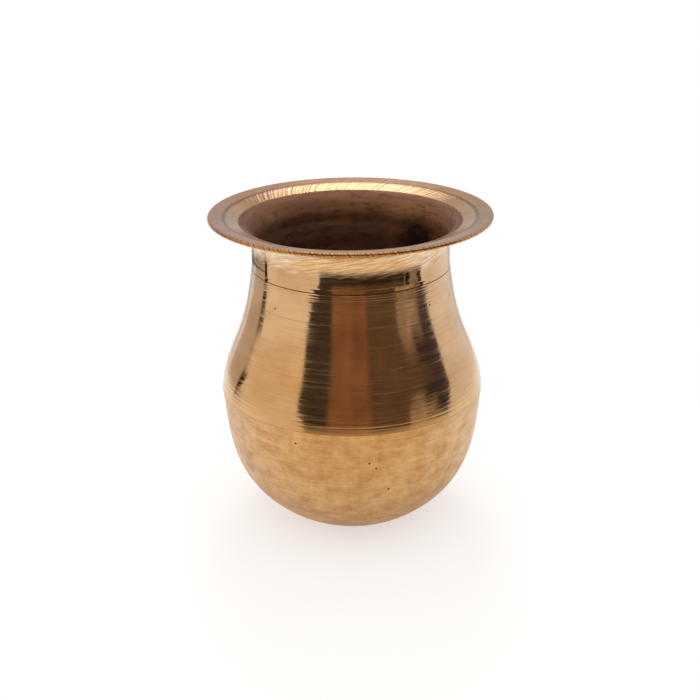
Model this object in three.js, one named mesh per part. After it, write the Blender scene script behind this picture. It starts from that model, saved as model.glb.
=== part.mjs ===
// A small round-bellied brass water pot (lota) with a wide flat lip, as a three.js scene graph.
// Millimetres, +Z up. The origin is the centre of the flat base.
//
// The pot is three turned shells brazed one above the other: a bowl, a shoulder with the neck,
// and a flared mouth. At each seam the lower shell ends in a thin tongue that stands inside the
// skirt of the shell above it, and brazing metal fills the space between them.

import * as THREE from "three";

// Driving dimensions
const BASE_RADIUS = 20; // outer edge of the ring that the pot stands on
const STANDING_WIDTH = 6; // width of that ring
const DISH_DEPTH = 0.8; // how far the middle of the base is pushed up
const CROWN_RADIUS = 48.9; // radius of the rounded bottom
const CROWN_ANGLE = THREE.MathUtils.degToRad(45); // where the rounded bottom ends, from straight down
const BELLY_RADIUS = 47.8; // widest part, where the bowl and the shoulder meet at a faint corner
const BELLY_HEIGHT = 50.6;
const NECK_RADIUS = 35.1; // narrowest part, where the flare of the lip begins
const NECK_HEIGHT = 102;
const NECK_SEAM_DROP = 6.2; // the mouth's seam lies this far below the narrowest part
const NECK_SEAM_STEP = 0.2; // and the neck is this much wider there
const RIM_RADIUS = 50; // outer edge of the lip
const RIM_LAND = 0.8; // width of the level land inside the lip's rounded edge
const RIM_BAND = 5.6; // from the lip's edge in to the ring where its slope grows steeper
const BAND_SLOPE = THREE.MathUtils.degToRad(8.5); // how steeply the band falls inwards
const THROAT_STEP = 5.85; // how far the throat's edge lies outside the neck's inner wall
const THROAT_SLOPE = THREE.MathUtils.degToRad(19.1); // how steeply the lip falls from the ring to the throat
const LIP_RISE = 12.7; // from the narrowest part up to the top of the lip
const LIP_THICKNESS = 1.4;
const WALL = 1.5;
const SEAM_LAP = 6; // how far a tongue stands up inside a skirt
const BRAZE_FILM = 0.3; // thickness of the brazing metal in a seam

// Lengths of the handles that shape the outline's curves
const SIDE_START_HANDLE = 18.2;
const SIDE_END_HANDLE = 11.8;
const SIDE_END_LEAN = 1.86;
const SHOULDER_START_HANDLE = 16.5;
const SHOULDER_START_LEAN = 1.88;
const SHOULDER_END_HANDLE = 27;
const SHOULDER_END_LEAN = 3.26;
const NECK_HANDLE = 2.5;

// How finely the curves are divided
const AROUND = 48;
const CROWN_STEPS = 4;
const DISH_STEPS = 3;
const SIDE_STEPS = 7;
const SHOULDER_STEPS = 14;
const NECK_STEPS = 3;
const LAP_STEPS = 2;
const THROAT_STEPS = 6;
const EDGE_STEPS = 4;

const NECK_SEAM_HEIGHT = NECK_HEIGHT - NECK_SEAM_DROP;
const RIM_HEIGHT = NECK_HEIGHT + LIP_RISE;
const SKIRT = (WALL - BRAZE_FILM) / 2; // a seam's outer layer; the tongue inside it is as thick

const point = (radius, height) => new THREE.Vector2(radius, height);

// The outline of the outside, from the base ring up to the narrowest part of the neck.
const crownCentre = Math.sqrt(CROWN_RADIUS ** 2 - BASE_RADIUS ** 2);
const crownStart = Math.asin(BASE_RADIUS / CROWN_RADIUS);
const crownEnd = point(
  CROWN_RADIUS * Math.sin(CROWN_ANGLE),
  crownCentre - CROWN_RADIUS * Math.cos(CROWN_ANGLE),
);
const belly = point(BELLY_RADIUS, BELLY_HEIGHT);
const neckSeam = point(NECK_RADIUS + NECK_SEAM_STEP, NECK_SEAM_HEIGHT);
const neck = point(NECK_RADIUS, NECK_HEIGHT);
const side = new THREE.CubicBezierCurve(
  crownEnd,
  point(
    crownEnd.x + SIDE_START_HANDLE * Math.cos(CROWN_ANGLE),
    crownEnd.y + SIDE_START_HANDLE * Math.sin(CROWN_ANGLE),
  ),
  point(belly.x - SIDE_END_LEAN, belly.y - SIDE_END_HANDLE),
  belly,
);
const neckStartLean = (NECK_HANDLE * SHOULDER_END_LEAN) / SHOULDER_END_HANDLE;
const shoulder = new THREE.CurvePath();
shoulder.add(
  new THREE.CubicBezierCurve(
    belly,
    point(belly.x - SHOULDER_START_LEAN, belly.y + SHOULDER_START_HANDLE),
    point(neckSeam.x + SHOULDER_END_LEAN, neckSeam.y - SHOULDER_END_HANDLE),
    neckSeam,
  ),
);
shoulder.add(
  new THREE.CubicBezierCurve(
    neckSeam,
    point(neckSeam.x - neckStartLean, neckSeam.y + NECK_HANDLE),
    point(neck.x, neck.y - NECK_HANDLE),
    neck,
  ),
);

// The place on a rising curve that lies at a height, found by halving.
function placeAtHeight(curve, height) {
  let low = 0;
  let high = 1;
  for (let i = 0; i < 40; i++) {
    const middle = (low + high) / 2;
    if (curve.getPoint(middle).y < height) low = middle;
    else high = middle;
  }
  return (low + high) / 2;
}

// The point at a place on a rising curve, moved inwards by depth.
function inward(curve, place, depth) {
  const tangent = curve.getTangent(place);
  const spot = curve.getPoint(place);
  return point(spot.x - tangent.y * depth, spot.y + tangent.x * depth);
}

// Points along a rising curve between two heights, moved inwards by depth.
function along(curve, fromHeight, toHeight, steps, depth) {
  const from = placeAtHeight(curve, fromHeight);
  const to = placeAtHeight(curve, toHeight);
  const points = [];
  for (let i = 0; i <= steps; i++) {
    points.push(inward(curve, from + ((to - from) * i) / steps, depth));
  }
  return points;
}

// The rounded bottom, from the base ring outwards, moved inwards by depth.
function crown(depth) {
  const radius = CROWN_RADIUS - depth;
  const start = depth > 0 ? Math.acos((crownCentre - depth) / radius) : crownStart;
  const points = [];
  for (let i = 0; i <= CROWN_STEPS; i++) {
    const angle = start + ((CROWN_ANGLE - start) * i) / CROWN_STEPS;
    points.push(point(radius * Math.sin(angle), crownCentre - radius * Math.cos(angle)));
  }
  return points;
}

// The pushed-up middle of the base, from the axis out to the standing ring.
function dish(height) {
  const radius = BASE_RADIUS - STANDING_WIDTH;
  const points = [];
  for (let i = 0; i <= DISH_STEPS; i++) {
    const share = i / DISH_STEPS;
    points.push(point(radius * share, height + DISH_DEPTH * (1 - share ** 2)));
  }
  return points;
}

// A solid of revolution about Z. The outline runs anticlockwise as seen with the axis on its
// left, and closes on itself or starts and ends on the axis.
function turned(name, outline, material) {
  const closed = outline[0].x > 0 ? [...outline, outline[0]] : outline;
  const geometry = new THREE.LatheGeometry(closed, AROUND);
  geometry.rotateX(Math.PI / 2);
  const mesh = new THREE.Mesh(geometry, material);
  mesh.name = name;
  return mesh;
}

// The point level with a height on the shoulder's outside, moved inwards by depth.
const shoulderPoint = (height, depth) => inward(shoulder, placeAtHeight(shoulder, height), depth);

// The two faces of a seam that starts at a height on the shoulder's curve.
const lapOutside = (height) =>
  along(shoulder, height + BRAZE_FILM, height + SEAM_LAP, LAP_STEPS, SKIRT);
const lapInside = (height) =>
  along(shoulder, height, height + SEAM_LAP - BRAZE_FILM, LAP_STEPS, SKIRT + BRAZE_FILM);

// The tongue on top of a lower shell: up its outer face and over to the shell's inner wall.
const tongue = (height) => [
  shoulderPoint(height, 0),
  ...lapInside(height),
  shoulderPoint(height + SEAM_LAP - BRAZE_FILM, WALL),
];

// The skirt at the foot of an upper shell, from its inner wall down and out to its outer wall.
const skirt = (height) => [
  shoulderPoint(height + SEAM_LAP, WALL),
  ...lapOutside(height).reverse(),
  shoulderPoint(height + BRAZE_FILM, 0),
];

function lowerBowl(material) {
  const tongueTop = BELLY_HEIGHT + SEAM_LAP - BRAZE_FILM;
  const outside = [
    ...dish(0),
    ...crown(0),
    ...along(side, crownEnd.y, BELLY_HEIGHT, SIDE_STEPS, 0).slice(1, -1),
  ];
  const inside = [
    ...dish(WALL),
    ...crown(WALL),
    ...along(side, crownEnd.y, BELLY_HEIGHT, SIDE_STEPS, WALL).slice(1),
    ...along(shoulder, BELLY_HEIGHT, tongueTop, LAP_STEPS, WALL).slice(1, -1),
  ];
  return turned("lower_bowl", [...outside, ...tongue(BELLY_HEIGHT), ...inside.reverse()], material);
}

function upperBody(material) {
  const outside = along(
    shoulder, BELLY_HEIGHT + BRAZE_FILM, NECK_SEAM_HEIGHT, SHOULDER_STEPS, 0,
  ).slice(1, -1);
  const inside = along(
    shoulder, BELLY_HEIGHT + SEAM_LAP, NECK_SEAM_HEIGHT + SEAM_LAP - BRAZE_FILM, SHOULDER_STEPS, WALL,
  ).slice(1, -1);
  return turned(
    "upper_body",
    [...skirt(BELLY_HEIGHT), ...outside, ...tongue(NECK_SEAM_HEIGHT), ...inside.reverse()],
    material,
  );
}

// The flared mouth: the top of the neck, the throat and the lip. From its rounded edge the lip has
// a narrow level land, a band that falls gently inwards to a ring, and a steeper fall to the throat.
function flaredMouth(material) {
  const edgeRadius = LIP_THICKNESS / 2;
  const landInner = RIM_RADIUS - edgeRadius - RIM_LAND;
  const bandInner = RIM_RADIUS - RIM_BAND;
  const bore = NECK_RADIUS - WALL;
  const throatEdge = bore + THROAT_STEP;
  const ringHeight = RIM_HEIGHT - (landInner - bandInner) * Math.tan(BAND_SLOPE);
  const slopeHeight = (radius) => ringHeight - (bandInner - radius) * Math.tan(THROAT_SLOPE);
  const outside = along(
    shoulder, NECK_SEAM_HEIGHT + BRAZE_FILM, NECK_HEIGHT, NECK_STEPS, 0,
  ).slice(1, -1);
  const under = new THREE.QuadraticBezierCurve(
    neck,
    point(NECK_RADIUS, slopeHeight(NECK_RADIUS) - LIP_THICKNESS),
    point(throatEdge, slopeHeight(throatEdge) - LIP_THICKNESS),
  ).getPoints(THROAT_STEPS);
  const edge = [];
  for (let i = 0; i <= EDGE_STEPS; i++) {
    const angle = -Math.PI / 2 + (Math.PI * i) / EDGE_STEPS;
    edge.push(
      point(
        RIM_RADIUS - edgeRadius + edgeRadius * Math.cos(angle),
        RIM_HEIGHT - edgeRadius + edgeRadius * Math.sin(angle),
      ),
    );
  }
  const throat = new THREE.QuadraticBezierCurve(
    point(throatEdge, slopeHeight(throatEdge)),
    point(bore, slopeHeight(bore)),
    point(bore, NECK_HEIGHT),
  ).getPoints(THROAT_STEPS);
  const inside = along(
    shoulder, NECK_SEAM_HEIGHT + SEAM_LAP, NECK_HEIGHT, NECK_STEPS, WALL,
  ).slice(1, -1);
  return turned(
    "flared_mouth",
    [
      ...skirt(NECK_SEAM_HEIGHT),
      ...outside,
      ...under,
      point(bandInner, ringHeight - LIP_THICKNESS),
      point(landInner, RIM_HEIGHT - LIP_THICKNESS),
      ...edge,
      point(landInner, RIM_HEIGHT),
      point(bandInner, ringHeight),
      ...throat,
      ...inside.reverse(),
    ],
    material,
  );
}

// Brazing metal in a seam: the film between tongue and skirt, with a foot that comes out at the
// outer wall under the skirt and a head that comes out at the inner wall over the tongue.
function braze(name, height, material) {
  return turned(
    name,
    [
      shoulderPoint(height, 0),
      ...skirt(height).reverse(),
      shoulderPoint(height + SEAM_LAP - BRAZE_FILM, WALL),
      ...lapInside(height).reverse(),
    ],
    material,
  );
}

const metal = (color, roughness) =>
  new THREE.MeshStandardMaterial({ color, roughness, metalness: 1 });
const scouredBrass = metal(0xc79a5c, 0.42);
const polishedBrass = metal(0xd0a468, 0.2);
const lipBrass = metal(0xc2946a, 0.34);
const brazingMetal = metal(0xb07f45, 0.4);

const lota = new THREE.Group();
lota.add(
  lowerBowl(scouredBrass),
  braze("belly_braze", BELLY_HEIGHT, brazingMetal),
  upperBody(polishedBrass),
  braze("neck_braze", NECK_SEAM_HEIGHT, brazingMetal),
  flaredMouth(lipBrass),
);

export default lota;
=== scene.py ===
import math

import bpy
import numpy as np
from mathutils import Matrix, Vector


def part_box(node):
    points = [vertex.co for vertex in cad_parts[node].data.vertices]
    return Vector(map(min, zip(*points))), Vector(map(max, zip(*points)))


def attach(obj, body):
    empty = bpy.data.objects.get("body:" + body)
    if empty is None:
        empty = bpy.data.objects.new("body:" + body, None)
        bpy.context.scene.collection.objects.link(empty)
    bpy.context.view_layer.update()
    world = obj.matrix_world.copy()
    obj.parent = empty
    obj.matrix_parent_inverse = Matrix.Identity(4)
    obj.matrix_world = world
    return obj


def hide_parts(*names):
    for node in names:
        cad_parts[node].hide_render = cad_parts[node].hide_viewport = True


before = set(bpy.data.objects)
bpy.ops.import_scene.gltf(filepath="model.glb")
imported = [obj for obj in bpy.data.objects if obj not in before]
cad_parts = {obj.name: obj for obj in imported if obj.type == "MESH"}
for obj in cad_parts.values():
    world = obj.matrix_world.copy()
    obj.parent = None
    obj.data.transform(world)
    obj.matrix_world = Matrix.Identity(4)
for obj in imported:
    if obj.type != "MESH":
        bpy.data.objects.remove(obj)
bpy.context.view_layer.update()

# The camera. It is held by hand about 40 cm in front of the pot and well above it, so that it
# looks down into the mouth, and it leans a little to one side.
mm = 0.001
lip_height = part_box("flared_mouth")[1].z
camera_distance = 400 * mm
camera_aside = 0.9 * mm
camera_above_lip = 109.65 * mm
camera_dip = math.radians(22.07)
camera_roll = math.radians(0.54)
camera_data = bpy.data.cameras.new("camera")
camera_data.sensor_width = 36
camera_data.lens = 60.43
camera_data.clip_start = 0.01
camera = bpy.data.objects.new("camera", camera_data)
camera.location = (camera_aside, -camera_distance, lip_height + camera_above_lip)
camera.rotation_euler = (math.pi / 2 - camera_dip, camera_roll, 0)
bpy.context.scene.collection.objects.link(camera)
bpy.context.scene.camera = camera
bpy.context.scene.view_settings.view_transform = "Standard"


# The studio. The pot stands on a small white table in a tent of white cloth. The tent is open in
# front, and polished metal mirrors the dark room there, the tent's seams and its grey back wall.
def linear(colour):
    """An sRGB hex colour such as "c79a5c" as linear red, green, blue and alpha."""
    parts = [int(colour[i : i + 2], 16) / 255 for i in (0, 2, 4)]
    return (*[p / 12.92 if p <= 0.04045 else ((p + 0.055) / 1.055) ** 2.4 for p in parts], 1)


def add(tree, kind, inputs=(), output=0, **settings):
    """A new node. Its inputs are values, or sockets to link from, by name or in their order.
    It gives one of the node's outputs, or the node itself where it has none."""
    node = tree.nodes.new(kind)
    for name, value in settings.items():
        setattr(node, name, value)
    for name, value in inputs.items() if isinstance(inputs, dict) else enumerate(inputs):
        if isinstance(value, bpy.types.NodeSocket):
            tree.links.new(value, node.inputs[name])
        else:
            node.inputs[name].default_value = value
    return node.outputs[output] if node.outputs else node


world = bpy.data.worlds.new("tent")
world.use_nodes = True
bpy.context.scene.world = world
tent = world.node_tree
tent.nodes.clear()
toward = add(tent, "ShaderNodeTexCoord", output="Generated")
toward = add(tent, "ShaderNodeSeparateXYZ", (toward,)).node.outputs
# The bearing is 0 straight in front of the pot and grows to the right. Both angles are in degrees.
front = add(tent, "ShaderNodeMath", (toward["Y"], -1.0), operation="MULTIPLY")
bearing = add(tent, "ShaderNodeMath", (toward["X"], front), operation="ARCTAN2")
bearing = add(tent, "ShaderNodeMath", (bearing,), operation="DEGREES")
rise = add(tent, "ShaderNodeMath", (toward["Z"],), operation="ARCSINE")
rise = add(tent, "ShaderNodeMath", (rise,), operation="DEGREES")
from_front = add(tent, "ShaderNodeMath", (bearing,), operation="ABSOLUTE")
# The bearing for a thing that leans to the right, by 0.9 degrees for each degree that it rises.
leaning = add(tent, "ShaderNodeMath", (rise, -0.9, bearing), operation="MULTIPLY_ADD")


def stretch_of(angle, low, high, soft):
    """1 where an angle is between low and high, fading out over soft to either side of them."""
    edges = []
    for end, outside, beyond_it in ((low, 0.0, 1.0), (high, 1.0, 0.0)):
        edge = (angle, end - soft, end + soft, outside, beyond_it)
        edges.append(add(tent, "ShaderNodeMapRange", edge, interpolation_type="SMOOTHSTEP"))
    return add(tent, "ShaderNodeMath", edges, operation="MULTIPLY")


def hang(under, colour, bearings, rises, soft=1.0, angle=bearing):
    """Hangs a coloured cloth between two bearings and two rises, over what is under it."""
    cloth = (stretch_of(angle, *bearings, soft), stretch_of(rise, *rises, soft))
    cloth = add(tent, "ShaderNodeMath", cloth, operation="MULTIPLY")
    colours = {"Factor": cloth, "A": under, "B": linear(colour)}
    return add(tent, "ShaderNodeMix", colours, "Result", data_type="RGBA")


# The tent is grey at the back, warm on the left and white on the right, with a seam's dark line.
cloths = hang((1, 1, 1, 1), "d0d4dc", (125, 190), (5, 24), 4.0, from_front)
cloths = hang(cloths, "c4baba", (125, 190), (27, 36), 3.0, from_front)
cloths = hang(cloths, "faeedd", (-111, -40), (-40, 45), 2.0)
cloths = hang(cloths, "f6e3c6", (-111, -40), (10, 45), 5.0)
cloths = hang(cloths, "d0c3b8", (-143, -111), (-22, 30), 2.0)
cloths = hang(cloths, "f5f3f3", (92, 150), (-40, 40), 4.0)
cloths = hang(cloths, "d8d2cc", (150, 190), (-40, 5), 6.0, from_front)
cloths = hang(cloths, "3c3032", (-168, -113), (-18.0, -17.3), 0.3)

# The room has a dark curtain on the left, a wooden door, pale and purple things on the right, and
# a dark step along its foot.
room = hang(linear("63503f"), "433c36", (-60, -20.5), (-40, 60), 1.5)
room = hang(room, "8b6549", (-20.5, 16), (-40, 60), 3.0)
room = hang(room, "86786c", (60, 80), (-5, 3), 3.0)
room = hang(room, "b5a393", (50, 75), (-11, -2), 2.0)
room = hang(room, "b5a393", (50, 64), (-4, 3), 2.0)
room = hang(room, "332b3f", (64, 110), (4, 12), 3.0)
room = hang(room, "443c4b", (78, 110), (-40, 12), 2.0)
room = hang(room, "a39384", (48, 60), (0, 10), 2.0, leaning)
room = hang(room, "a3968a", (63, 84), (-24, -10), 2.0)
room = hang(room, "3a342f", (-60, 63), (-24, -17.0), 0.6)
# The room's things are more and less bright in patches about 12 degrees wide and 4 high.
patches_in_a_degree = (1 / 12, 1 / 4, 0)
clutter = add(tent, "ShaderNodeCombineXYZ", (bearing, rise))
clutter = add(tent, "ShaderNodeVectorMath", (clutter, patches_in_a_degree), operation="MULTIPLY")
clutter = {"Vector": clutter, "Scale": 1.0, "Detail": 4.0, "Roughness": 0.6}
clutter = add(tent, "ShaderNodeTexNoise", clutter, noise_dimensions="2D")
clutter = add(tent, "ShaderNodeMapRange", (clutter, 0.3, 0.7, 0.6, 1.45))
room = add(tent, "ShaderNodeVectorMath", {0: room, "Scale": clutter}, operation="SCALE")
# The room is seen through a doorway that is 60 degrees wide to either side of its middle low down,
# and 71.5 degrees from just above level.
doorway_middle = 24.0
doorway_foot = -24.0
doorway_top = 40.0
half_width = add(tent, "ShaderNodeMapRange", (rise, -20.0, 3.0, 60.0, 71.5))
across = add(tent, "ShaderNodeMath", (bearing, doorway_middle), operation="SUBTRACT")
across = add(tent, "ShaderNodeMath", (across, half_width), operation="DIVIDE")
across = stretch_of(across, -1.0, 1.0, soft=0.012)
doorway = (across, stretch_of(rise, doorway_foot, doorway_top, soft=0.8))
doorway = add(tent, "ShaderNodeMath", doorway, operation="MULTIPLY")
cloths = {"Factor": doorway, "A": cloths, "B": room}
cloths = add(tent, "ShaderNodeMix", cloths, "Result", data_type="RGBA")


def kinds_of_ray(tree):
    """What each ray is, and 1 for the rays that show a thing: the camera's own, and those that
    metal and glass send on."""
    rays = add(tree, "ShaderNodeLightPath").node.outputs
    showing = (rays["Is Camera Ray"], rays["Is Glossy Ray"])
    showing = add(tree, "ShaderNodeMath", showing, operation="ADD")
    showing = (showing, rays["Is Transmission Ray"])
    showing = add(tree, "ShaderNodeMath", showing, operation="ADD", use_clamp=True)
    return rays, showing


tent_light = (0.75, 0.75, 0.75, 1)
rays, showing = kinds_of_ray(tent)
cloths = {"Factor": rays["Is Camera Ray"], "A": cloths, "B": (1, 1, 1, 1)}
cloths = add(tent, "ShaderNodeMix", cloths, "Result", data_type="RGBA")
cloths = {"Factor": showing, "A": tent_light, "B": cloths}
cloths = add(tent, "ShaderNodeMix", cloths, "Result", data_type="RGBA")
cloths = add(tent, "ShaderNodeBackground", (cloths, 1.0))
add(tent, "ShaderNodeOutputWorld", (cloths,))

# The table is a disc that fades into the white behind it. It lies a hair below the pot's foot.
table_radius = 0.27
table_middle = (0.006, 0.010, -0.05 * mm)
table_fade = (0.12, 0.19)
table_glow = 0.54
bpy.ops.mesh.primitive_circle_add(
    vertices=96,
    radius=table_radius,
    fill_type="NGON",
    location=table_middle,
)
table = bpy.context.object
table.name = "table"
table_paint = bpy.data.materials.new("matt_white_table")
table_paint.use_nodes = True
paint = table_paint.node_tree
paint.nodes.clear()
rays, showing = kinds_of_ray(paint)
lift = add(paint, "ShaderNodeMath", (showing, table_glow), operation="MULTIPLY")
on_table = add(paint, "ShaderNodeTexCoord", output="Object")
from_middle = add(paint, "ShaderNodeVectorMath", (on_table,), "Value", operation="LENGTH")
# In front the table is lit by the warm room, and round the pot's foot it is in shade. Only the
# metal's reflections show either.
warm_reach = (-0.02, -0.12)
shade_reach = (0.02, 0.08)
table_front = add(paint, "ShaderNodeSeparateXYZ", (on_table,), "Y")
table_front = (table_front, *warm_reach, 0.0, 1.0)
table_front = add(paint, "ShaderNodeMapRange", table_front, interpolation_type="SMOOTHSTEP")
warmth = {"Factor": table_front, "A": (1, 1, 1, 1), "B": linear("fbeacb")}
warmth = add(paint, "ShaderNodeMix", warmth, "Result", data_type="RGBA")
round_foot = (from_middle, *shade_reach, 1.0, 0.0)
round_foot = add(paint, "ShaderNodeMapRange", round_foot, interpolation_type="SMOOTHSTEP")
warmth = {"Factor": round_foot, "A": warmth, "B": linear("e0d2c2")}
warmth = add(paint, "ShaderNodeMix", warmth, "Result", data_type="RGBA")
warmth = {"Factor": rays["Is Glossy Ray"], "A": (1, 1, 1, 1), "B": warmth}
warmth = add(paint, "ShaderNodeMix", warmth, "Result", data_type="RGBA")
tone = {"Factor": 1.0, "A": warmth, "B": linear("d4d2ce")}
tone = add(paint, "ShaderNodeMix", tone, "Result", data_type="RGBA", blend_type="MULTIPLY")
matt = add(paint, "ShaderNodeBsdfDiffuse", (tone,))
glow = add(paint, "ShaderNodeEmission", (warmth, lift))
card = add(paint, "ShaderNodeAddShader", (matt, glow))
beyond = (from_middle, *table_fade, 0.0, 1.0)
beyond = add(paint, "ShaderNodeMapRange", beyond, interpolation_type="SMOOTHSTEP")
beyond = add(paint, "ShaderNodeMath", (beyond, rays["Is Camera Ray"]), operation="MULTIPLY")
clear = add(paint, "ShaderNodeBsdfTransparent")
card = add(paint, "ShaderNodeMixShader", (beyond, card, clear))
add(paint, "ShaderNodeOutputMaterial", (card,))
table.data.materials.append(table_paint)

# The dark tape of a tent seam stands behind the pot on the left, and only reflections show it.
tape_corners = [
    (-0.218, 0.025, 0.073),
    (-0.209, 0.057, 0.066),
    (-0.201, 0.083, 0.004),
    (-0.202, 0.077, 0.006),
]
tape_mesh = bpy.data.meshes.new("tent_seam")
tape_mesh.from_pydata(tape_corners, [], [(0, 1, 2, 3)])
tape = bpy.data.objects.new("tent_seam", tape_mesh)
bpy.context.scene.collection.objects.link(tape)
tape_cloth = bpy.data.materials.new("dark_tape")
tape_cloth.use_nodes = True
tape_cloth.node_tree.nodes.clear()
tape_matt = add(tape_cloth.node_tree, "ShaderNodeBsdfDiffuse", (linear("1c1218"),))
add(tape_cloth.node_tree, "ShaderNodeOutputMaterial", (tape_matt,))
tape_mesh.materials.append(tape_cloth)

# A loop of dark strap hangs in the doorway on the right, with its middle below the table's level.
# It is less than half as high as it is wide.
strap_bearing = math.radians(75.5)
strap_place = (0.467, -0.144, -0.042)
strap_height_share = 0.45
bpy.ops.mesh.primitive_torus_add(major_radius=0.08, minor_radius=0.022, location=strap_place)
strap = bpy.context.object
strap.name = "strap_loop"
strap.rotation_euler = (math.pi / 2, 0, strap_bearing)
strap.scale = (1, strap_height_share, 1)
strap.data.materials.append(tape_cloth)
for thing in (tape, strap):
    thing.visible_camera = False
    thing.visible_diffuse = False
    thing.visible_shadow = False

# One lamp hangs high behind the pot, and its mirror image brightens the back of the lip.
top_lamp_data = bpy.data.lights.new("top_lamp", "AREA")
top_lamp_data.shape = "RECTANGLE"
top_lamp_data.size = 0.26
top_lamp_data.size_y = 0.30
top_lamp_data.color = (0.68, 0.79, 1.0)
top_lamp_data.energy = 1.1
top_lamp = bpy.data.objects.new("top_lamp", top_lamp_data)
top_lamp.location = (-0.02, 0.50, 0.73)
lamp_aim = Vector((0, 0, 0.1)) - top_lamp.location
top_lamp.rotation_euler = lamp_aim.to_track_quat("-Z", "Y").to_euler()
bpy.context.scene.collection.objects.link(top_lamp)


# The bowl. The lower half of the pot, hammered up from sheet brass, turned true at its top and
# scoured. It stands on a narrow flat ring, and ends in a thin tongue that the shoulder laps.
def curve(start, start_handle, end_handle, end, steps):
    """Points along a Bezier curve, each a radius and a height."""
    share = np.linspace(0, 1, steps + 1)[:, None]
    rest = 1 - share
    a, b, c, d = (np.array(p) for p in (start, start_handle, end_handle, end))
    return rest**3 * a + 3 * rest**2 * share * b + 3 * rest * share**2 * c + share**3 * d


def arc(centre, radius, start, end, steps):
    """Points along an arc between two angles in degrees, counted from straight outwards."""
    angle = np.radians(np.linspace(start, end, steps + 1))
    return np.stack([centre[0] + radius * np.cos(angle), centre[1] + radius * np.sin(angle)], 1)


def inward(points, depth):
    """The same rising line, moved towards the inside of the pot by depth."""
    tangent = np.gradient(points, axis=0)
    tangent /= np.linalg.norm(tangent, axis=1)[:, None]
    return points + depth * np.stack([-tangent[:, 1], tangent[:, 0]], 1)


def between(points, low, high, spacing):
    """The part of a rising line between two heights, with points about that far apart."""
    heights = np.linspace(low, high, max(2, round((high - low) / spacing) + 1))
    return np.stack([np.interp(heights, points[:, 1], points[:, 0]), heights], 1)


def eased(points, *seams):
    """How much each point of a line is worked: not at all at a seam, and fully 5 mm from it."""
    to_seam = np.min([np.abs(points[:, 1] - seam) for seam in seams], axis=0)
    return np.clip(to_seam / (5 * mm), 0, 1)


base_radius = 20 * mm
standing_width = 6 * mm
dish_depth = 0.8 * mm
crown_radius = 48.9 * mm
crown_angle = 45
wall = 1.5 * mm
skirt_thickness = 0.6 * mm
braze_film = 0.3 * mm
seam_lap = 6 * mm
belly_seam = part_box("belly_braze")[0].z
belly_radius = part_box("belly_braze")[1].x
neck_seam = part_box("neck_braze")[0].z

crown_centre = (0, math.sqrt(crown_radius**2 - base_radius**2))
crown_start = -math.degrees(math.acos(base_radius / crown_radius))
crown = arc(crown_centre, crown_radius, crown_start, crown_angle - 90, steps=60)
crown_way = np.array([math.cos(math.radians(crown_angle)), math.sin(math.radians(crown_angle))])
side_start_handle = 18.2 * mm
side_end_handle = 11.8 * mm
side_end_lean = 1.86 * mm
side = curve(
    crown[-1],
    crown[-1] + side_start_handle * crown_way,
    (belly_radius - side_end_lean, belly_seam - side_end_handle),
    (belly_radius, belly_seam),
    steps=90,
)
bowl_outside = np.vstack([crown, side[1:]])

neck_radius = 35.1 * mm
neck_height = lip_height - 12.7 * mm
neck_seam_radius = neck_radius + 0.2 * mm
shoulder_start_handle = 16.5 * mm
shoulder_start_lean = 1.88 * mm
shoulder_end_handle = 27 * mm
shoulder_end_lean = 3.26 * mm
neck_handle = 2.5 * mm
neck_start_lean = neck_handle * shoulder_end_lean / shoulder_end_handle
shoulder = curve(
    (belly_radius, belly_seam),
    (belly_radius - shoulder_start_lean, belly_seam + shoulder_start_handle),
    (neck_seam_radius + shoulder_end_lean, neck_seam - shoulder_end_handle),
    (neck_seam_radius, neck_seam),
    steps=1200,
)
neck = curve(
    (neck_seam_radius, neck_seam),
    (neck_seam_radius - neck_start_lean, neck_seam + neck_handle),
    (neck_radius, neck_height - neck_handle),
    (neck_radius, neck_height),
    steps=200,
)
upper_outside = np.vstack([shoulder, neck[1:]])
upper_inside = inward(upper_outside, wall)
skirt_face = inward(upper_outside, skirt_thickness)
tongue_face = inward(upper_outside, skirt_thickness + braze_film)


def dish(height):
    """The pushed-up middle of the base, from the axis out to the standing ring."""
    share = np.linspace(0, 1, 24)
    inner_edge = base_radius - standing_width
    return np.stack([inner_edge * share, height + dish_depth * (1 - share**2)], 1)


# One Geometry Nodes tree turns every outline round the axis, as the lathe does. It moves each
# point by turned rings, which depend only on the way along the outline, and by a slow unevenness.
turning = bpy.data.node_groups.new("turned_shell", "GeometryNodeTree")
for name, kind, way in (
    ("Outline", "NodeSocketGeometry", "INPUT"),
    ("Steps Around", "NodeSocketInt", "INPUT"),
    ("Ring Depth", "NodeSocketFloat", "INPUT"),
    ("Ring Spacing", "NodeSocketFloat", "INPUT"),
    ("Unevenness", "NodeSocketFloat", "INPUT"),
    ("Unevenness Size", "NodeSocketFloat", "INPUT"),
    ("Sharp Edge Angle", "NodeSocketFloat", "INPUT"),
    ("Seed", "NodeSocketFloat", "INPUT"),
    ("Material", "NodeSocketMaterial", "INPUT"),
    ("Shell", "NodeSocketGeometry", "OUTPUT"),
):
    turning.interface.new_socket(name, in_out=way, socket_type=kind)
given = add(turning, "NodeGroupInput").node.outputs


def outline_place(row_number):
    """The coordinates of the outline's point with that number."""
    place = add(turning, "GeometryNodeInputPosition")
    place = {"Geometry": given["Outline"], "Value": place, "Index": row_number}
    place = add(turning, "GeometryNodeSampleIndex", place, data_type="FLOAT_VECTOR")
    return add(turning, "ShaderNodeSeparateXYZ", (place,)).node.outputs


def outline_value(row_number, name):
    """A named value of the outline's point with that number."""
    stored = add(turning, "GeometryNodeInputNamedAttribute", {"Name": name}, data_type="FLOAT")
    stored = {"Geometry": given["Outline"], "Value": stored, "Index": row_number}
    return add(turning, "GeometryNodeSampleIndex", stored, data_type="FLOAT")


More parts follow.
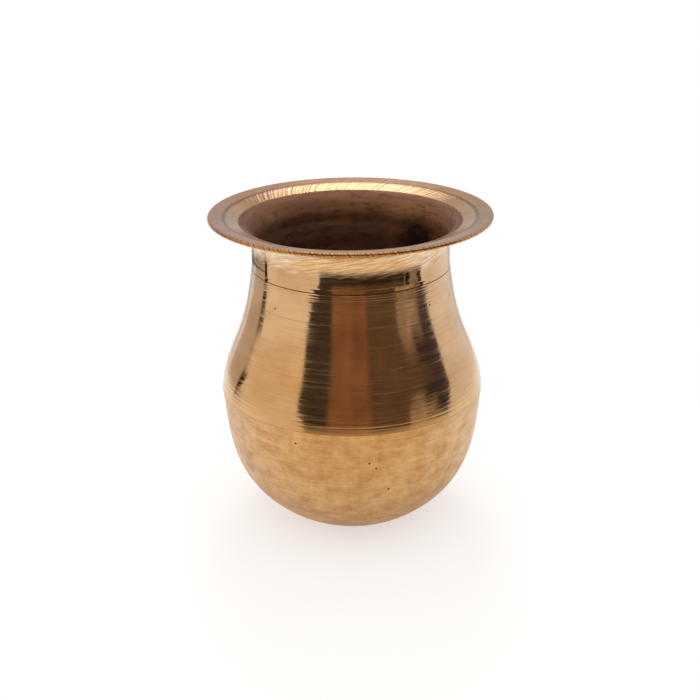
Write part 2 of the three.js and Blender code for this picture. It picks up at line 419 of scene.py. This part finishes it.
rows = {"Geometry": given["Outline"]}
rows = add(turning, "GeometryNodeAttributeDomainSize", rows, "Point Count")
columns = add(turning, "ShaderNodeMath", (given["Steps Around"], 1.0), operation="ADD")
sheet = add(turning, "GeometryNodeMeshGrid", {"Vertices X": rows, "Vertices Y": columns})
number = add(turning, "GeometryNodeInputIndex")
row = add(turning, "ShaderNodeMath", (number, 0.5), operation="ADD")
row = add(turning, "ShaderNodeMath", (row, columns), operation="DIVIDE")
row = add(turning, "ShaderNodeMath", (row,), operation="FLOOR")
row_start = add(turning, "ShaderNodeMath", (row, columns), operation="MULTIPLY")
column = add(turning, "ShaderNodeMath", (number, row_start), operation="SUBTRACT")
turn = add(turning, "ShaderNodeMath", (column, given["Steps Around"]), operation="DIVIDE")
turn = add(turning, "ShaderNodeMath", (turn, 2 * math.pi), operation="MULTIPLY")
last_row = add(turning, "ShaderNodeMath", (rows, 1.0), operation="SUBTRACT")
row_before = add(turning, "ShaderNodeMath", (row, 1.0), operation="SUBTRACT")
row_before = add(turning, "ShaderNodeMath", (row_before, 0.0), operation="MAXIMUM")
row_after = add(turning, "ShaderNodeMath", (row, 1.0), operation="ADD")
row_after = add(turning, "ShaderNodeMath", (row_after, last_row), operation="MINIMUM")
here = outline_place(row)
before = outline_place(row_before)
after = outline_place(row_after)
round_place = add(turning, "ShaderNodeCombineXYZ", {"X": here["X"], "Z": here["Z"]})
round_place = {"Vector": round_place, "Axis": (0, 0, 1), "Angle": turn}
round_place = add(turning, "ShaderNodeVectorRotate", round_place, rotation_type="AXIS_ANGLE")
outward_x = add(turning, "ShaderNodeMath", (after["Z"], before["Z"]), operation="SUBTRACT")
outward_z = add(turning, "ShaderNodeMath", (before["X"], after["X"]), operation="SUBTRACT")
outward = add(turning, "ShaderNodeCombineXYZ", {"X": outward_x, "Z": outward_z})
outward = add(turning, "ShaderNodeVectorMath", (outward,), operation="NORMALIZE")
outward = {"Vector": outward, "Axis": (0, 0, 1), "Angle": turn}
outward = add(turning, "ShaderNodeVectorRotate", outward, rotation_type="AXIS_ANGLE")

way_along = (outline_value(row, "along"), given["Ring Spacing"])
way_along = add(turning, "ShaderNodeMath", way_along, operation="DIVIDE")
way_along = add(turning, "ShaderNodeMath", (way_along, given["Seed"]), operation="ADD")
rings = {"W": way_along, "Scale": 1.0, "Detail": 2.0}
rings = add(turning, "ShaderNodeTexNoise", rings, noise_dimensions="1D")
rings = add(turning, "ShaderNodeMath", (rings, 0.5), operation="SUBTRACT")
rings = add(turning, "ShaderNodeMath", (rings, given["Ring Depth"]), operation="MULTIPLY")
slow_scale = add(turning, "ShaderNodeMath", (1.0, given["Unevenness Size"]), operation="DIVIDE")
slow = {"Vector": round_place, "W": given["Seed"], "Scale": slow_scale, "Detail": 1.0}
slow = add(turning, "ShaderNodeTexNoise", slow, noise_dimensions="4D")
slow = add(turning, "ShaderNodeMath", (slow, 0.5), operation="SUBTRACT")
slow = add(turning, "ShaderNodeMath", (slow, given["Unevenness"]), operation="MULTIPLY")
relief = add(turning, "ShaderNodeMath", (rings, slow), operation="ADD")
relief = (outline_value(row, "worked"), relief)
relief = add(turning, "ShaderNodeMath", relief, operation="MULTIPLY")
relief = {0: outward, "Scale": relief}
relief = add(turning, "ShaderNodeVectorMath", relief, operation="SCALE")
final_place = add(turning, "ShaderNodeVectorMath", (round_place, relief), operation="ADD")

shell = add(turning, "GeometryNodeSetPosition", {"Geometry": sheet, "Position": final_place})
shell = {"Geometry": shell, "Name": "inside", "Value": outline_value(row, "inside")}
shell = add(turning, "GeometryNodeStoreNamedAttribute", shell, data_type="FLOAT", domain="POINT")
shell = add(turning, "GeometryNodeMergeByDistance", {"Geometry": shell, "Distance": 0.002 * mm})
# The grid's faces come out pointing into the metal, and are turned to face out of it.
shell = add(turning, "GeometryNodeFlipFaces", {"Mesh": shell})
shell = add(turning, "GeometryNodeSetShadeSmooth", {"Geometry": shell})
sharp = add(turning, "GeometryNodeInputMeshEdgeAngle", output="Unsigned Angle")
sharp = (sharp, given["Sharp Edge Angle"])
sharp = add(turning, "ShaderNodeMath", sharp, operation="GREATER_THAN")
shell = {"Geometry": shell, "Selection": sharp, "Shade Smooth": False}
shell = add(turning, "GeometryNodeSetShadeSmooth", shell, domain="EDGE")
shell = add(turning, "GeometryNodeRealizeInstances", {"Geometry": shell})
shell = {"Geometry": shell, "Material": given["Material"]}
shell = add(turning, "GeometryNodeSetMaterial", shell)
add(turning, "NodeGroupOutput", {"Shell": shell})


def turned(name, stretches, settings):
    """A turned shell. Each stretch of its outline is its points, how much of the rings and of the
    unevenness they take, and whether they are on the inside of the pot, from 0 to 1."""
    closest = 0.01 * mm
    points, worked, inside = [], [], []
    for line, work, within_pot in stretches:
        for (x, z), share in zip(line, np.broadcast_to(work, len(line))):
            if points and math.hypot(x - points[-1][0], z - points[-1][2]) < closest:
                continue
            points.append((x, 0, z))
            worked.append(share)
            inside.append(within_pot)
    starts_off_the_axis = points[0][0] > closest
    if starts_off_the_axis:
        points.append(points[0])
        worked.append(worked[0])
        inside.append(inside[0])
    steps = np.linalg.norm(np.diff(np.array(points), axis=0), axis=1)
    along = [0, *np.cumsum(steps)]
    outline = bpy.data.meshes.new(name + "_outline")
    outline.from_pydata(points, [(i, i + 1) for i in range(len(points) - 1)], [])
    for label, values in (("worked", worked), ("inside", inside), ("along", along)):
        outline.attributes.new(label, "FLOAT", "POINT").data.foreach_set("value", values)
    blank = bpy.data.objects.new(name + "_blank", outline)
    bpy.context.scene.collection.objects.link(blank)
    lathe = blank.modifiers.new("lathe", "NODES")
    lathe.node_group = turning
    for item in turning.interface.items_tree:
        if item.name in settings:
            lathe[item.identifier] = settings[item.name]
    view = bpy.context.evaluated_depsgraph_get()
    mesh = bpy.data.meshes.new_from_object(blank.evaluated_get(view), depsgraph=view)
    mesh.name = name
    bpy.data.objects.remove(blank)
    piece = bpy.data.objects.new(name, mesh)
    bpy.context.scene.collection.objects.link(piece)
    return piece


# Scoured brass: a brass rubbed with grit by hand, which gives a satin, faintly mottled gold with
# fine scratches that run round the pot, and a few casting pits.
def grain(tree, in_a_mm, detail=2.0, roughness=0.5, offset=0.0):
    """A noise from 0 to 1, with so many grains in a millimetre along each axis."""
    place = add(tree, "ShaderNodeTexCoord", output="Object")
    place = {"Vector": place, "Scale": [grains / mm for grains in in_a_mm]}
    place = add(tree, "ShaderNodeMapping", place)
    cloud = {"Vector": place, "W": offset, "Detail": detail, "Roughness": roughness, "Scale": 1.0}
    return add(tree, "ShaderNodeTexNoise", cloud, noise_dimensions="4D")


def mixed(tree, shares):
    """The sum of patterns, each multiplied by its share."""
    result = 0.0
    for pattern, share in shares:
        result = add(tree, "ShaderNodeMath", (pattern, share, result), operation="MULTIPLY_ADD")
    return result


def tinted(tree, pattern, low, high, first, second):
    """One colour where a pattern is at low, another where it is at high, and a blend between."""
    share = add(tree, "ShaderNodeMapRange", (pattern, low, high, 0.0, 1.0))
    colours = {"Factor": share, "A": first, "B": second}
    return add(tree, "ShaderNodeMix", colours, "Result", data_type="RGBA")


def turned_metal(name, anisotropy):
    """A new metal whose finish lies in rings round the axis: its material, tree and shader.
    Anisotropy is how much wider it spreads light across the rings than along them."""
    material = bpy.data.materials.new(name)
    material.use_nodes = True
    tree = material.node_tree
    shader = tree.nodes["Principled BSDF"]
    shader.inputs["Metallic"].default_value = 1
    shader.inputs["Anisotropic"].default_value = anisotropy
    shader.inputs["Anisotropic Rotation"].default_value = 0.25
    round_way = add(tree, "ShaderNodeTangent", direction_type="RADIAL", axis="Z")
    tree.links.new(round_way, shader.inputs["Tangent"])
    return material, tree, shader


def pits(tree, outline, spots, radius):
    """1 in casting pits and 0 elsewhere. A spot is an angle to the right of the front, in degrees,
    and a height."""
    place = add(tree, "ShaderNodeTexCoord", output="Object")
    marks = 0.0
    for angle, height in spots:
        from_axis = np.interp(height, outline[:, 1], outline[:, 0])
        turn = math.radians(angle)
        spot = (from_axis * math.sin(turn), -from_axis * math.cos(turn), height)
        distance = add(tree, "ShaderNodeVectorMath", (place, spot), "Value", operation="DISTANCE")
        mark = add(tree, "ShaderNodeMapRange", (distance, 0.4 * radius, radius, 1.0, 0.0))
        marks = add(tree, "ShaderNodeMath", (mark, marks), operation="MAXIMUM")
    return marks


def oxide(tree):
    """The colour of the brown oxide that is left inside the pot, in faint level bands, with one
    dark stain under the lip where water stood."""
    bands = grain(tree, (0.015, 0.015, 0.28), 3.0, 0.55)
    spots = grain(tree, (0.2, 0.2, 0.45), 4.0, 0.65, 2.0)
    brown = tinted(tree, bands, 0.38, 0.62, linear("9a6f50"), linear("7a4f38"))
    brown = tinted(tree, spots, 0.5, 0.75, brown, linear("5c3626"))
    stain_middle = (25 * mm, 22.5 * mm, 97 * mm)
    place = add(tree, "ShaderNodeTexCoord", output="Object")
    from_stain = (place, stain_middle)
    from_stain = add(tree, "ShaderNodeVectorMath", from_stain, "Value", operation="DISTANCE")
    ragged = mixed(tree, [(from_stain, 1.0 / mm), (spots, 24.0)])
    return tinted(tree, ragged, 16.0, 24.0, linear("38281f"), brown)


def oxidise(tree, shader, gold, share, loss):
    """Gives a metal its colour, and where share is 1 the oxide's, which takes that much of the
    metallic look away."""
    colour = tinted(tree, share, 0.0, 1.0, gold, oxide(tree))
    tree.links.new(colour, shader.inputs["Base Color"])
    tree.links.new(mixed(tree, [(share, -loss), (1.0, 1.0)]), shader.inputs["Metallic"])


scoured, tree, shader = turned_metal("scoured_brass", 0.3)
mottle = grain(tree, (0.15, 0.15, 0.22), 5.0, 0.72)
rubbed = grain(tree, (0.06, 0.06, 1.3), 3.0, 0.65, 5.0)
wiped = grain(tree, (0.4, 0.4, 0.1), 2.0, 0.5, 9.0)
gold = tinted(tree, mottle, 0.33, 0.67, linear("dfb788"), linear("ba8c59"))
gold = tinted(tree, rubbed, 0.5, 1.0, gold, linear("ecca9a"))
gold = tinted(tree, wiped, 0.45, 2.4, gold, linear("8a5c34"))
front_pits = [(7, 39.4 * mm), (10, 37.2 * mm), (16, 27.9 * mm), (15, 11.4 * mm), (-24, 45.7 * mm)]
back_pits = [(118, 33 * mm), (171, 24 * mm), (-97, 41 * mm), (-148, 30 * mm)]
pitted = pits(tree, bowl_outside, front_pits + back_pits, 0.55 * mm)
gold = tinted(tree, pitted, 0.0, 1.0, gold, linear("5a3820"))
within = add(tree, "ShaderNodeAttribute", output="Fac", attribute_name="inside")
oxidise(tree, shader, gold, within, 0.15)
gloss = mixed(tree, [(rubbed, 0.14), (mottle, 0.12), (within, 0.2), (1.0, 0.22)])
tree.links.new(gloss, shader.inputs["Roughness"])
scratches = grain(tree, (0.06, 0.06, 2.6), 2.0, 0.6, 8.0)
height = mixed(tree, [(scratches, 0.3), (rubbed, 0.5), (pitted, -4.0)])
height = {"Height": height, "Distance": 0.010 * mm, "Strength": 1.0}
tree.links.new(add(tree, "ShaderNodeBump", height), shader.inputs["Normal"])

bowl_inside = inward(bowl_outside, wall)
bowl_inside = bowl_inside[(bowl_inside[:, 1] > wall + 0.02 * mm) & (bowl_inside[:, 1] < belly_seam)]
bowl_inside = bowl_inside[::-3]
tongue_top = belly_seam + seam_lap - braze_film
bowl = turned(
    "brass_bowl",
    [
        (dish(0), 0, 0),
        (bowl_outside, eased(bowl_outside, 0, belly_seam), 0),
        (between(tongue_face, belly_seam, tongue_top, 1 * mm), 0, 0),
        (between(upper_inside, belly_seam + 0.3 * mm, tongue_top, 1 * mm)[::-1], 0, 1),
        (bowl_inside, eased(bowl_inside, 0, belly_seam), 1),
        (dish(wall)[::-1], 0, 1),
    ],
    {
        "Steps Around": 288,
        "Ring Depth": 0.01 * mm,
        "Ring Spacing": 2.0 * mm,
        "Unevenness": 0.12 * mm,
        "Unevenness Size": 14 * mm,
        "Sharp Edge Angle": 0.6,
        "Seed": 3.0,
        "Material": scoured,
    },
)
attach(bowl, "root")
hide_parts("lower_bowl")


# The belly seam. Brazing metal fills the space between the bowl's tongue and the shoulder's
# skirt, and is turned and polished flush with the shells, so that it hardly shows.
def braze(name, seam, groove, material):
    """The ring of brazing metal in a seam. Its foot lies in a groove of that depth."""
    top = seam + seam_lap
    foot = between(upper_outside, seam, seam + braze_film, 0.05 * mm)
    foot[:, 0] -= groove * np.sin(np.linspace(0, math.pi, len(foot)))
    return turned(
        name,
        [
            (foot, 0, 0),
            (between(skirt_face, seam + braze_film, top, 1 * mm), 0, 0),
            (between(upper_inside, top - braze_film, top, 0.1 * mm)[::-1], 0, 1),
            (between(tongue_face, seam, top - braze_film, 1 * mm)[::-1], 0, 0),
        ],
        {
            "Steps Around": 288,
            "Ring Depth": 0.0,
            "Ring Spacing": 1.0 * mm,
            "Unevenness": 0.0,
            "Unevenness Size": 14 * mm,
            "Sharp Edge Angle": 0.6,
            "Seed": 1.0,
            "Material": material,
        },
    )


flush_braze, tree, shader = turned_metal("flush_brazing_brass", 0.3)
mottle = grain(tree, (0.11, 0.11, 0.13), 4.0, 0.6)
gold = tinted(tree, mottle, 0.33, 0.67, linear("cc9c66"), linear("c09056"))
within = add(tree, "ShaderNodeAttribute", output="Fac", attribute_name="inside")
oxidise(tree, shader, gold, within, 0.6)
tree.links.new(mixed(tree, [(mottle, 0.1), (within, 0.2), (1.0, 0.2)]), shader.inputs["Roughness"])

belly_braze = braze("belly_seam_braze", belly_seam, 0.0, flush_braze)
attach(belly_braze, "root")
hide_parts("belly_braze")


# The shoulder and lower neck. Sheet brass drawn in over a former, then turned and polished on
# the lathe. The tool has left a few fine lines, closest together just under the neck's groove.
def lined(points, lines):
    """A rising line with turned lines in it, each a height, a depth and half its width. Its points
    are close together there."""
    near = [height + half * np.linspace(-2.5, 2.5, 9) for height, depth, half in lines]
    heights = np.unique(np.concatenate([points[:, 1], *near]))
    heights = heights[(heights >= points[0, 1]) & (heights <= points[-1, 1])]
    radii = np.interp(heights, upper_outside[:, 1], upper_outside[:, 0])
    for height, depth, half in lines:
        radii -= depth * np.exp(-(((heights - height) / half) ** 2))
    return np.stack([radii, heights], 1)


def polish(tree):
    """Brass polished on the lathe: its colour, its roughness and its height from 0 to 1. It is
    deeper gold down at the belly, and hazy where hands and cloths have touched it."""
    rings = grain(tree, (0.012, 0.012, 1.3), 4.0, 0.65, 1.0)
    strokes = grain(tree, (0.05, 0.05, 1.6), 3.0, 0.6, 4.0)
    dulled = add(tree, "ShaderNodeMapRange", (strokes, 0.4, 0.75, 0.0, 1.0))
    haze = grain(tree, (0.05, 0.05, 0.08), 3.0, 0.6, 7.0)
    place = add(tree, "ShaderNodeTexCoord", output="Object")
    place = add(tree, "ShaderNodeSeparateXYZ", (place,)).node.outputs
    gold = tinted(tree, place["Z"], 55 * mm, 92 * mm, linear("d6ae80"), linear("deba92"))
    gold = tinted(tree, haze, 0.42, 0.85, gold, linear("b98f62"))
    gold = tinted(tree, strokes, 0.5, 1.3, gold, linear("b48a60"))
    gold = tinted(tree, rings, 0.6, 1.0, gold, linear("7d5434"))
    gloss = mixed(tree, [(haze, 0.06), (rings, 0.10), (dulled, 0.21), (1.0, 0.02)])
    return gold, gloss, mixed(tree, [(rings, 0.5), (strokes, 0.3)])


polished, tree, shader = turned_metal("polished_brass", 0.7)
gold, gloss, height = polish(tree)
shoulder_pits = [(-45, 88.0 * mm), (47, 88.6 * mm), (70, 87.7 * mm), (150, 76 * mm), (-128, 83 * mm)]
pitted = pits(tree, upper_outside, shoulder_pits, 0.45 * mm)
gold = tinted(tree, pitted, 0.0, 1.0, gold, linear("4a2c1c"))
within = add(tree, "ShaderNodeAttribute", output="Fac", attribute_name="inside")
oxidise(tree, shader, gold, within, 0.15)
tree.links.new(mixed(tree, [(gloss, 1.0), (within, 0.4)]), shader.inputs["Roughness"])
height = mixed(tree, [(height, 1.0), (pitted, -3.0)])
height = {"Height": height, "Distance": 0.008 * mm, "Strength": 1.0}
tree.links.new(add(tree, "ShaderNodeBump", height), shader.inputs["Normal"])

deep_lines = [(z * mm, 0.045 * mm, 0.24 * mm) for z in (92.9, 93.5, 94.25, 95.2)]
faint_lines = (52.9, 54.4, 56.1, 57.8, 60.4, 71.3, 83.7, 89.6)
faint_lines = [(z * mm, 0.02 * mm, 0.3 * mm) for z in faint_lines]
body_outside = between(upper_outside, belly_seam + braze_film, neck_seam, 0.4 * mm)
body_outside = lined(body_outside, deep_lines + faint_lines)
body_top = neck_seam + seam_lap - braze_film
body_inside = between(upper_inside, belly_seam + seam_lap, body_top, 0.8 * mm)[::-1]
body = turned(
    "brass_shoulder",
    [
        (between(skirt_face, belly_seam + braze_film, belly_seam + seam_lap, 1 * mm)[::-1], 0, 0),
        (body_outside, eased(body_outside, belly_seam, neck_seam), 0),
        (between(tongue_face, neck_seam, body_top, 1 * mm), 0, 0),
        (body_inside, eased(body_inside, belly_seam + seam_lap, body_top), 1),
    ],
    {
        "Steps Around": 300,
        "Ring Depth": 0.005 * mm,
        "Ring Spacing": 2.2 * mm,
        "Unevenness": 0.05 * mm,
        "Unevenness Size": 25 * mm,
        "Sharp Edge Angle": 0.6,
        "Seed": 11.0,
        "Material": polished,
    },
)
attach(body, "root")
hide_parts("upper_body")


# The neck seam. The same brazing metal, which lies a little low in a turned groove and is brown
# with polish and dirt that no cloth reaches.
groove_braze, tree, shader = turned_metal("groove_brazing_brass", 0.3)
speckle = grain(tree, (0.3, 0.3, 1.0), 2.0)
gold = tinted(tree, speckle, 0.3, 0.7, linear("6b4a30"), linear("4a3020"))
within = add(tree, "ShaderNodeAttribute", output="Fac", attribute_name="inside")
oxidise(tree, shader, gold, within, 0.6)
tree.links.new(mixed(tree, [(speckle, 0.2), (1.0, 0.3)]), shader.inputs["Roughness"])

neck_braze = braze("neck_seam_braze", neck_seam, 0.12 * mm, groove_braze)
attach(neck_braze, "root")
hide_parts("neck_braze")


# The mouth. The top of the neck and the wide lip, flared out of one ring of brass. The flare is
# scratched aslant, the lip's top is filed and browner, and the throat below it keeps its oxide.
def bend(start, corner, end, steps):
    """Points along a curve from start to end that leaves and arrives towards a corner."""
    share = np.linspace(0, 1, steps + 1)[:, None]
    rest = 1 - share
    a, b, c = (np.array(p) for p in (start, corner, end))
    return rest**2 * a + 2 * rest * share * b + share**2 * c


def straight(start, end, steps):
    """Points along a straight line."""
    return np.linspace(start, end, steps + 1)


lip_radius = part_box("flared_mouth")[1].x
lip_land = 0.8 * mm
lip_band = 5.6 * mm
lip_thickness = 1.4 * mm
throat_step = 5.85 * mm
band_fall = math.tan(math.radians(8.5))
lip_fall = math.tan(math.radians(19.1))
bore = neck_radius - wall
throat_edge = bore + throat_step
edge_radius = lip_thickness / 2
land_inner = lip_radius - edge_radius - lip_land
band_inner = lip_radius - lip_band
ring_height = lip_height - (land_inner - band_inner) * band_fall


def slope_height(radius):
    """How high the lip's steeper inner slope is at a radius."""
    return ring_height - (band_inner - radius) * lip_fall


def round_the_pot(tree, draw):
    """A pattern that follows the way round the pot, drawn from the front and again from the back
    and blended, so that it has no seam. draw makes it from the angle, in radians."""
    place = add(tree, "ShaderNodeTexCoord", output="Object")
    place = add(tree, "ShaderNodeSeparateXYZ", (place,)).node.outputs
    sides = []
    for way in (1.0, -1.0):
        across = add(tree, "ShaderNodeMath", (place["X"], way), operation="MULTIPLY")
        away = add(tree, "ShaderNodeMath", (place["Y"], -way), operation="MULTIPLY")
        sides.append(draw(add(tree, "ShaderNodeMath", (across, away), operation="ARCTAN2")))
    back = add(tree, "ShaderNodeMapRange", (place["Y"], -5 * mm, 5 * mm, 0.0, 1.0))
    return add(tree, "ShaderNodeMix", {"Factor": back, "A": sides[0], "B": sides[1]}, "Result")


mouth_brass, tree, shader = turned_metal("filed_lip_brass", 0.5)
place = add(tree, "ShaderNodeTexCoord", output="Object")
place = add(tree, "ShaderNodeSeparateXYZ", (place,)).node.outputs
from_axis = add(tree, "ShaderNodeCombineXYZ", {"X": place["X"], "Y": place["Y"]})
from_axis = add(tree, "ShaderNodeVectorMath", (from_axis,), "Value", operation="LENGTH")
within = add(tree, "ShaderNodeAttribute", output="Fac", attribute_name="inside")


def slant_scratches(angle):
    """Scratches on the flare that rise to the right, ten times as long as they are wide."""
    scratch_length = 6 * mm
    scratch_width = 0.6 * mm
    way = add(tree, "ShaderNodeMath", (angle, neck_radius), operation="MULTIPLY")
    spot = add(tree, "ShaderNodeCombineXYZ", (way, place["Z"]))
    lie = (0, 0, math.radians(10))
    spot = {"Vector": spot, "Rotation": lie, "Scale": (scratch_length, scratch_width, 1)}
    spot = add(tree, "ShaderNodeMapping", spot, vector_type="TEXTURE")
    cloud = {"Vector": spot, "Scale": 1.0, "Detail": 3.0, "Roughness": 0.6}
    return add(tree, "ShaderNodeTexNoise", cloud, noise_dimensions="2D")


def file_marks(angle):
    """Marks of the file, aslant across the lip's slope, about as wide as the gaps between them."""
    mark_width = 1.25 * mm
    mark_slant = 0.7
    slope_middle = 42 * mm
    way = add(tree, "ShaderNodeMath", (angle, slope_middle), operation="MULTIPLY")
    way = add(tree, "ShaderNodeMath", (from_axis, mark_slant, way), operation="MULTIPLY_ADD")
    way = add(tree, "ShaderNodeMath", (way, mark_width), operation="DIVIDE")
    cloud = {"W": way, "Scale": 1.0, "Detail": 1.0}
    return add(tree, "ShaderNodeTexNoise", cloud, noise_dimensions="1D")


def edge_notches(angle):
    """Small slanting notches along the lip's edge."""
    notch_width = 0.8 * mm
    notch_slant = 0.8
    way = add(tree, "ShaderNodeMath", (angle, lip_radius), operation="MULTIPLY")
    way = add(tree, "ShaderNodeMath", (place["Z"], notch_slant, way), operation="MULTIPLY_ADD")
    way = add(tree, "ShaderNodeMath", (way, notch_width), operation="DIVIDE")
    cloud = {"W": way, "Scale": 1.0, "Detail": 2.0}
    return add(tree, "ShaderNodeTexNoise", cloud, noise_dimensions="1D")


scratches = round_the_pot(tree, slant_scratches)
filed = round_the_pot(tree, file_marks)
notched = round_the_pot(tree, edge_notches)
brush = grain(tree, (0.3, 0.3, 0.3), 4.0, 0.65, 3.0)

# The scratched cream of the flare starts raggedly a little above the neck, and gives way to the
# lip's brown further out. File marks are given only on the back of the slope, where the lamp's
# highlight falls. Their darker colour there is partly their own and partly painted shade that
# breaks the highlight into strokes.
gold, gloss, height = polish(tree)
flare_start = 102.4
flare_full = 103.8
lip_start = 37 * mm
lip_full = 38.5 * mm
highlight_back_from = 10 * mm
highlight_back_full = 26 * mm
flare = mixed(tree, [(place["Z"], 1.0 / mm), (scratches, 2.0)])
flare = add(tree, "ShaderNodeMapRange", (flare, flare_start, flare_full, 0.0, 1.0))
cream = tinted(tree, scratches, 0.35, 0.65, linear("c9a27c"), linear("ecd3b2"))
gold = tinted(tree, flare, 0.0, 1.0, gold, cream)
on_lip = add(tree, "ShaderNodeMapRange", (from_axis, lip_start, lip_full, 0.0, 1.0))
taupe = tinted(tree, brush, 0.25, 0.75, linear("c49467"), linear("a8784e"))
highlight_back_share = (place["Y"], highlight_back_from, highlight_back_full, 0.0, 1.0)
highlight_back_share = add(tree, "ShaderNodeMapRange", highlight_back_share, interpolation_type="SMOOTHSTEP")
strokes = add(tree, "ShaderNodeMapRange", (filed, 0.42, 0.6, 0.0, 1.0))
strokes = add(tree, "ShaderNodeMath", (strokes, highlight_back_share), operation="MULTIPLY")
slope_taupe = tinted(tree, brush, 0.25, 0.75, linear("d0a474"), linear("b88c60"))
# The darker file-mark strokes are partly the marks' own colour and partly painted shade between the
# highlight's glints.
slope_taupe = tinted(tree, strokes, 0.0, 1.0, slope_taupe, linear("a67a52"))
taupe = tinted(tree, from_axis, band_inner - mm, band_inner, slope_taupe, taupe)
gold = tinted(tree, on_lip, 0.0, 1.0, gold, taupe)
# The turned ring is darker where the band meets the slope, and the outer edge is coppery, lighter
# and darker in slanting notches.
ring_shade = 1.0 * mm
ring_core = 0.1 * mm
edge_start = lip_radius - 0.75 * mm
edge_full = lip_radius - 0.5 * mm
ring_way = add(tree, "ShaderNodeMath", (from_axis, band_inner), operation="SUBTRACT")
ring_way = add(tree, "ShaderNodeMath", (ring_way,), operation="ABSOLUTE")
gold = tinted(tree, ring_way, ring_shade, ring_core, gold, linear("855c40"))
edge_share = add(tree, "ShaderNodeMapRange", (from_axis, edge_start, edge_full, 0.0, 1.0))
copper = tinted(tree, notched, 0.4, 0.6, linear("cc9865"), linear("96612f"))
gold = tinted(tree, edge_share, 0.0, 1.0, gold, copper)
# The throat's oxide ends raggedly where the slope begins.
oxide_end = throat_edge / mm + 0.7
oxide_gone = throat_edge / mm + 1.0
ragged = mixed(tree, [(from_axis, 1.0 / mm), (filed, 1.0), (brush, 0.8)])
oxidised = add(tree, "ShaderNodeMapRange", (ragged, oxide_end, oxide_gone, 1.0, 0.0))
oxidised = add(tree, "ShaderNodeMath", (oxidised, within), operation="MULTIPLY")
oxidise(tree, shader, gold, oxidised, 0.15)
rough = mixed(tree, [(gloss, 0.5), (flare, 0.10), (on_lip, 0.06), (oxidised, 0.36)])
tree.links.new(rough, shader.inputs["Roughness"])
brush_height = add(tree, "ShaderNodeMath", (brush, on_lip), operation="MULTIPLY")
flare_height = add(tree, "ShaderNodeMath", (scratches, flare), operation="MULTIPLY")
top_share = add(tree, "ShaderNodeMath", (on_lip, within), operation="MULTIPLY")
filed_height = add(tree, "ShaderNodeMath", (filed, top_share), operation="MULTIPLY")
filed_height = add(tree, "ShaderNodeMath", (filed_height, highlight_back_share), operation="MULTIPLY")
notch_height = add(tree, "ShaderNodeMath", (notched, edge_share), operation="MULTIPLY")
# How deep each kind of mark is, in millimetres.
height = [
    (height, 0.008),
    (flare_height, 0.02),
    (brush_height, 0.012),
    (filed_height, 0.10),
    (notch_height, 0.08),
]
height = {"Height": mixed(tree, height), "Distance": mm, "Strength": 1.0}
tree.links.new(add(tree, "ShaderNodeBump", height), shader.inputs["Normal"])

mouth_foot = neck_seam + braze_film
neck_outside = between(upper_outside, mouth_foot, neck_height, 0.3 * mm)
neck_outside = lined(neck_outside, [(97.2 * mm, 0.04 * mm, 0.24 * mm)])
under_lip = bend(
    (neck_radius, neck_height),
    (neck_radius, slope_height(neck_radius) - lip_thickness),
    (throat_edge, slope_height(throat_edge) - lip_thickness),
    steps=40,
)
under_ring = (band_inner, ring_height - lip_thickness)
under_land = (land_inner, lip_height - lip_thickness)
edge_centre = (lip_radius - edge_radius, lip_height - edge_radius)
lip_edge = arc(edge_centre, edge_radius, -90, 90, steps=16)
throat_top = (throat_edge, slope_height(throat_edge))
throat = bend(throat_top, (bore, slope_height(bore)), (bore, neck_height), steps=60)
neck_inside = between(upper_inside, neck_seam + seam_lap, neck_height - 0.02 * mm, 0.1 * mm)[::-1]
# The neck is polished, and takes only this share of the rings and the unevenness of the lip.
neck_share = 0.15
mouth = turned(
    "brass_mouth",
    [
        (between(skirt_face, mouth_foot, neck_seam + seam_lap, 1 * mm)[::-1], 0, 0),
        (neck_outside, neck_share * eased(neck_outside, neck_seam), 0),
        (under_lip, np.linspace(neck_share, 1, len(under_lip)), 0),
        (straight(under_lip[-1], under_ring, 8), 1, 0),
        (straight(under_ring, under_land, 8), 1, 0),
        (lip_edge, 0, 0),
        (straight(lip_edge[-1], (land_inner, lip_height), 4), 0, 1),
        (straight((land_inner, lip_height), (band_inner, ring_height), 14), 1, 1),
        (straight((band_inner, ring_height), throat_top, 20), 1, 1),
        (throat, 1, 1),
        (neck_inside, 0, 1),
    ],
    {
        "Steps Around": 360,
        "Ring Depth": 0.03 * mm,
        "Ring Spacing": 1.6 * mm,
        "Unevenness": 0.06 * mm,
        "Unevenness Size": 20 * mm,
        "Sharp Edge Angle": 0.6,
        "Seed": 23.0,
        "Material": mouth_brass,
    },
)
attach(mouth, "root")
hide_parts("flared_mouth")
